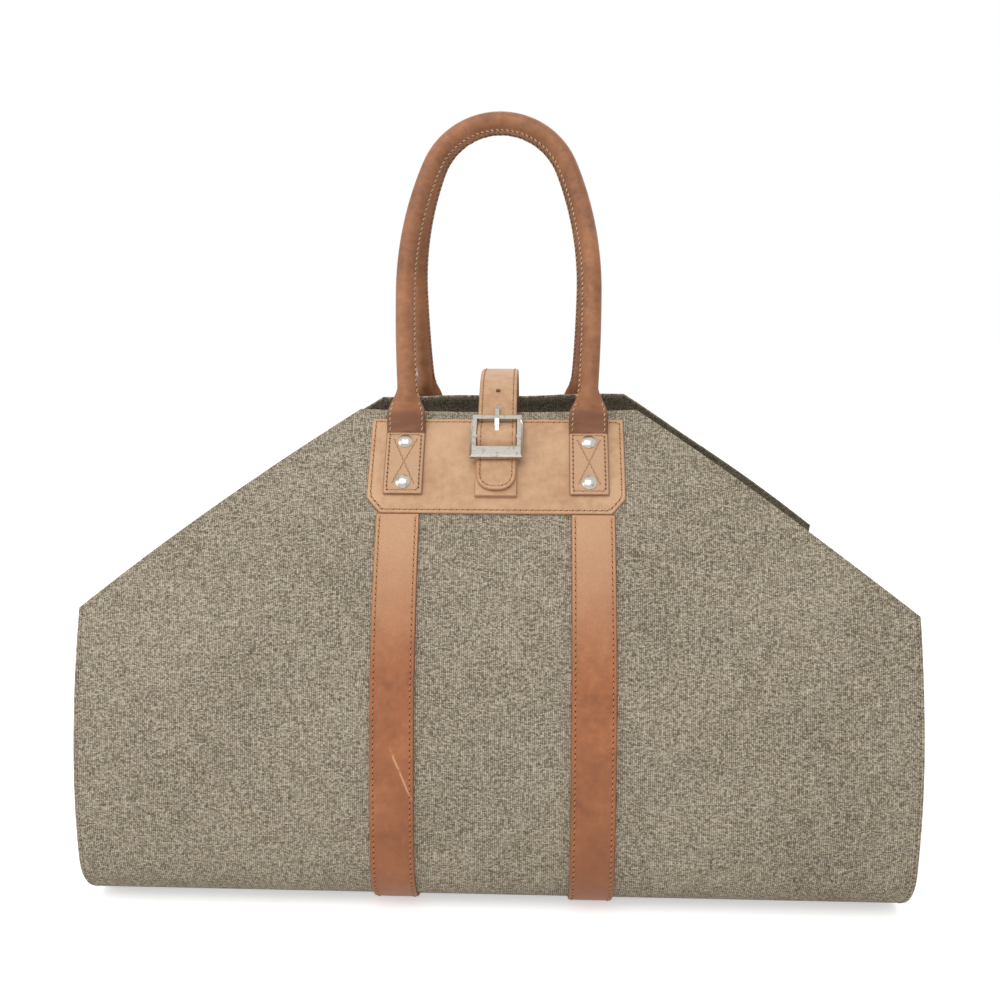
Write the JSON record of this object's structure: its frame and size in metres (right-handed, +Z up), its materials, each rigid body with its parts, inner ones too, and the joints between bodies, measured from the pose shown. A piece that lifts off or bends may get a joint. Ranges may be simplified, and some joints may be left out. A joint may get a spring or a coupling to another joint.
{
  "type": "doctor bag",
  "caption": "Open-ended canvas tote in a doctor-bag outline, with leather patches, straps under the base, two rolled handles and a buckled closing strap.",
  "frame": {"origin": "middle of the footprint, on the surface that the bag stands on", "axes": "+Z up, +X along the bag's width, -Y towards the side with the buckle"},
  "size_m": [0.556, 0.3248, 0.5397],
  "materials": {
    "canvas": "heavy plain-weave canvas, beige and grey yarns",
    "patch_leather": "light tan pull-up leather with burnished edges",
    "strap_leather": "mid-brown pull-up leather, stitched along both edges",
    "handle_leather": "rolled brown leather with a sewn seam",
    "closing_leather": "light tan leather with raw pale edges",
    "cord": "twisted cotton cord",
    "nickel": "polished nickel plate"
  },
  "bodies": {
    "base": {"bottom_panel": "canvas", "bottom_left_strap": "strap_leather", "bottom_right_strap": "strap_leather"},
    "front_wall": {"front_panel": "canvas", "front_patch": "patch_leather", "front_left_strap": "strap_leather", "front_right_strap": "strap_leather", "front_left_tab": "patch_leather", "front_right_tab": "patch_leather", "front_rivets": "nickel", "front_rivet_backs": "nickel", "chape": "closing_leather"},
    "back_wall": {"back_panel": "canvas", "back_patch": "patch_leather", "back_left_strap": "strap_leather", "back_right_strap": "strap_leather", "back_left_tab": "patch_leather", "back_right_tab": "patch_leather", "back_rivets": "nickel", "back_rivet_backs": "nickel", "closing_strap_base": "closing_leather"},
    "front_handle": {"front_handle_cover": "handle_leather", "front_handle_cord": "cord"},
    "back_handle": {"back_handle_cover": "handle_leather", "back_handle_cord": "cord"},
    "closing_strap": {"closing_strap": "closing_leather"},
    "buckle_frame": {"buckle_frame": "nickel"},
    "buckle_prong": {"buckle_prong": "nickel"}
  },
  "joints": [
    {"name": "front_wall_fold", "type": "hinge", "parent": "base", "child": "front_wall", "pos_m": [0, -0.1625, 0.0424], "axis": [1, 0, 0], "range_deg": [0, 80]},
    {"name": "back_wall_fold", "type": "hinge", "parent": "base", "child": "back_wall", "pos_m": [0, 0.1625, 0.0424], "axis": [-1, 0, 0], "range_deg": [0, 80]},
    {"name": "front_handle_swing", "type": "hinge", "parent": "front_wall", "child": "front_handle", "pos_m": [0, -0.0664, 0.32118], "axis": [1, 0, 0], "range_deg": [0, 105]},
    {"name": "back_handle_swing", "type": "hinge", "parent": "back_wall", "child": "back_handle", "pos_m": [0, 0.0664, 0.32118], "axis": [-1, 0, 0], "range_deg": [0, 105]},
    {"name": "closing_strap_lift", "type": "hinge", "parent": "back_wall", "child": "closing_strap", "pos_m": [0, 0.06143, 0.32692], "axis": [-1, 0, 0], "range_deg": [0, 120], "deforming": ["closing_strap"]},
    {"name": "buckle_frame_tip", "type": "hinge", "parent": "front_wall", "child": "buckle_frame", "pos_m": [0, -0.07143, 0.31613], "axis": [-1, 0, 0], "range_deg": [0, 8]},
    {"name": "buckle_prong_lift", "type": "hinge", "parent": "buckle_frame", "child": "buckle_prong", "pos_m": [0, -0.07143, 0.31613], "axis": [1, 0, 0], "range_deg": [0, 120]}
  ]
}
